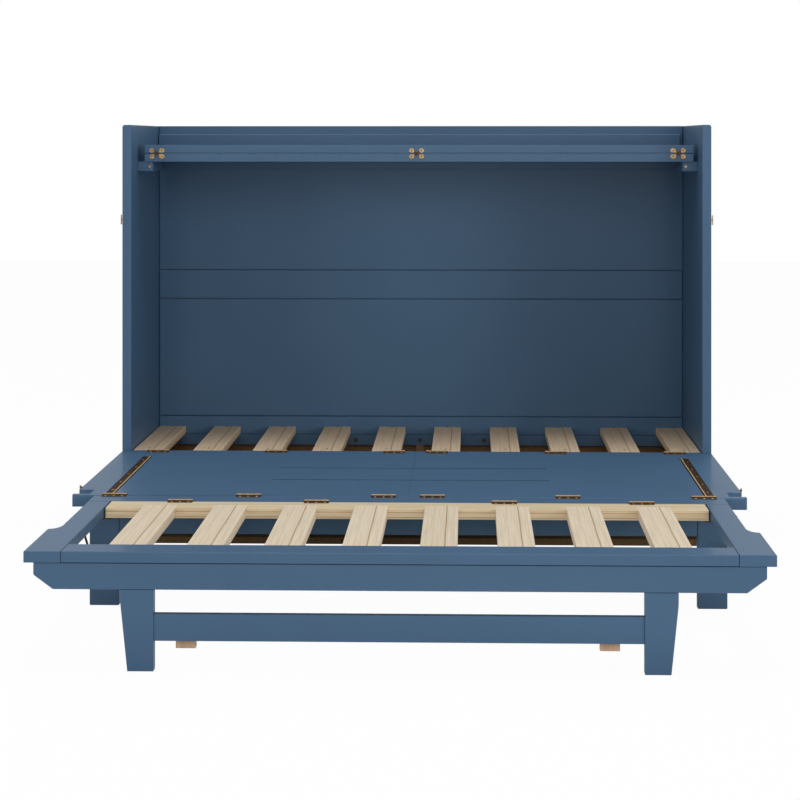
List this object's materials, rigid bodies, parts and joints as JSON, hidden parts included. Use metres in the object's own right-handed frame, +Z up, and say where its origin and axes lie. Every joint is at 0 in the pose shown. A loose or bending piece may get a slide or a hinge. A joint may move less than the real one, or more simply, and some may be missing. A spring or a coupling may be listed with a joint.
{
  "type": "cabinet wall bed",
  "caption": "Low cabinet with a hinged lid flap that folds out into a slatted double bed: its front panel, spine and slatted foot frame unfold and stand on folding legs.",
  "frame": {"origin": "centre of the opened bed's footprint, on the floor", "axes": "+X across the bed to the right as seen from its foot, +Y towards the cabinet's back, +Z up"},
  "size_m": [1.6382, 2.085, 1.155],
  "materials": {
    "blue_paint": "satin blue paint",
    "pine": "planed pale pine",
    "brown_board": "raw brown hardboard",
    "brass": "satin brass",
    "bronze": "dark bronze",
    "dark_steel": "dark browned steel"
  },
  "bodies": {
    "cabinet": {"side_panel_left": "blue_paint", "side_panel_right": "blue_paint", "back_upper_panel": "blue_paint", "back_mid_rail": "blue_paint", "back_lower_panel": "blue_paint", "back_bottom_rail": "blue_paint", "back_hardboard": "brown_board", "bottom_board": "brown_board", "gallery_strip": "blue_paint", "lid_board": "blue_paint", "lid_back_cleat": "blue_paint", "lid_cleat_left": "blue_paint", "lid_cleat_right": "blue_paint", "slat_ledger": "blue_paint", "ledger_prop": "pine", "slat_front_rail": "blue_paint", "slat_front_ledger": "pine", "rear_slats": "pine", "side_catches": "brass", "lid_hinge_fixed_plates": "brass", "cabinet_fasteners": "dark_steel", "panel_hinge_cabinet_leaves": "bronze"},
    "lid_flap": {"lid_flap": "blue_paint", "lid_hinge_flap_plates": "brass"},
    "front_panel": {"front_panel_left": "blue_paint", "front_panel_right": "blue_paint", "crown_rail": "blue_paint", "edge_strips": "bronze", "panel_screws": "brass", "panel_hinge_panel_leaves": "bronze", "spine_hinge_panel_leaves": "bronze"},
    "hook_left": {"hook_left": "brass"},
    "hook_right": {"hook_right": "brass"},
    "spine": {"spine_board": "blue_paint", "spine_hinge_spine_leaves": "bronze", "foot_hinge_spine_leaves": "bronze"},
    "foot_frame": {"foot_rail_left": "blue_paint", "foot_rail_right": "blue_paint", "foot_front_rail": "blue_paint", "foot_apron": "blue_paint", "foot_beam": "pine", "beam_brackets": "dark_steel", "foot_slat_cleat": "pine", "foot_slats": "pine", "foot_hinge_foot_leaves": "bronze", "rail_bolts": "brass", "mid_hinge_rail_leaves": "bronze", "front_hinge_apron_leaves": "bronze"},
    "mid_legs": {"mid_post_left": "blue_paint", "mid_post_right": "blue_paint", "mid_apron": "blue_paint", "mid_hinge_post_leaves": "bronze", "stay_studs": "brass"},
    "leg_stay_left": {"leg_stay_left": "dark_steel"},
    "leg_stay_right": {"leg_stay_right": "dark_steel"},
    "front_legs": {"front_leg_left": "blue_paint", "front_leg_right": "blue_paint", "leg_stretcher": "blue_paint", "stretcher_blocks": "pine", "front_hinge_leg_leaves": "bronze"}
  },
  "joints": [
    {"name": "front_panel_fold", "type": "hinge", "parent": "cabinet", "child": "front_panel", "pos_m": [0, 0.471, 0.254], "axis": [-1, 0, 0], "range_deg": [0, 90]},
    {"name": "spine_fold", "type": "hinge", "parent": "front_panel", "child": "spine", "pos_m": [0, -0.3, 0.254], "axis": [-1, 0, 0], "range_deg": [0, 90]},
    {"name": "foot_fold", "type": "hinge", "parent": "spine", "child": "foot_frame", "pos_m": [0, -0.386, 0.254], "axis": [-1, 0, 0], "range_deg": [0, 90]},
    {"name": "mid_leg_fold", "type": "hinge", "parent": "foot_frame", "child": "mid_legs", "pos_m": [0, -0.3785, 0.224], "axis": [-1, 0, 0], "range_deg": [0, 90]},
    {"name": "front_leg_fold", "type": "hinge", "parent": "foot_frame", "child": "front_legs", "pos_m": [0, -1.0075, 0.17085], "axis": [1, 0, 0], "range_deg": [0, 90]},
    {"name": "lid_flap_fold", "type": "hinge", "parent": "cabinet", "child": "lid_flap", "pos_m": [0, 0.578, 1.07525], "axis": [1, 0, 0], "range_deg": [0, 180]},
    {"name": "hook_left_swing", "type": "hinge", "parent": "front_panel", "child": "hook_left", "pos_m": [-0.81645, -0.13262, 0.239], "axis": [-1, 0, 0], "range_deg": [0, 28]},
    {"name": "hook_right_swing", "type": "hinge", "parent": "front_panel", "child": "hook_right", "pos_m": [0.81645, -0.13262, 0.239], "axis": [-1, 0, 0], "range_deg": [0, 28]},
    {"name": "leg_stay_left_swing", "type": "hinge", "parent": "foot_frame", "child": "leg_stay_left", "pos_m": [-0.7632, -0.5055, 0.238], "axis": [-1, 0, 0], "range_deg": [0, 135]},
    {"name": "leg_stay_right_swing", "type": "hinge", "parent": "foot_frame", "child": "leg_stay_right", "pos_m": [0.7632, -0.5055, 0.238], "axis": [-1, 0, 0], "range_deg": [0, 135]}
  ],
  "couplings": [
    {"joint": "leg_stay_left_swing", "follows": "mid_leg_fold", "ratio": 1.5},
    {"joint": "leg_stay_right_swing", "follows": "mid_leg_fold", "ratio": 1.5}
  ]
}
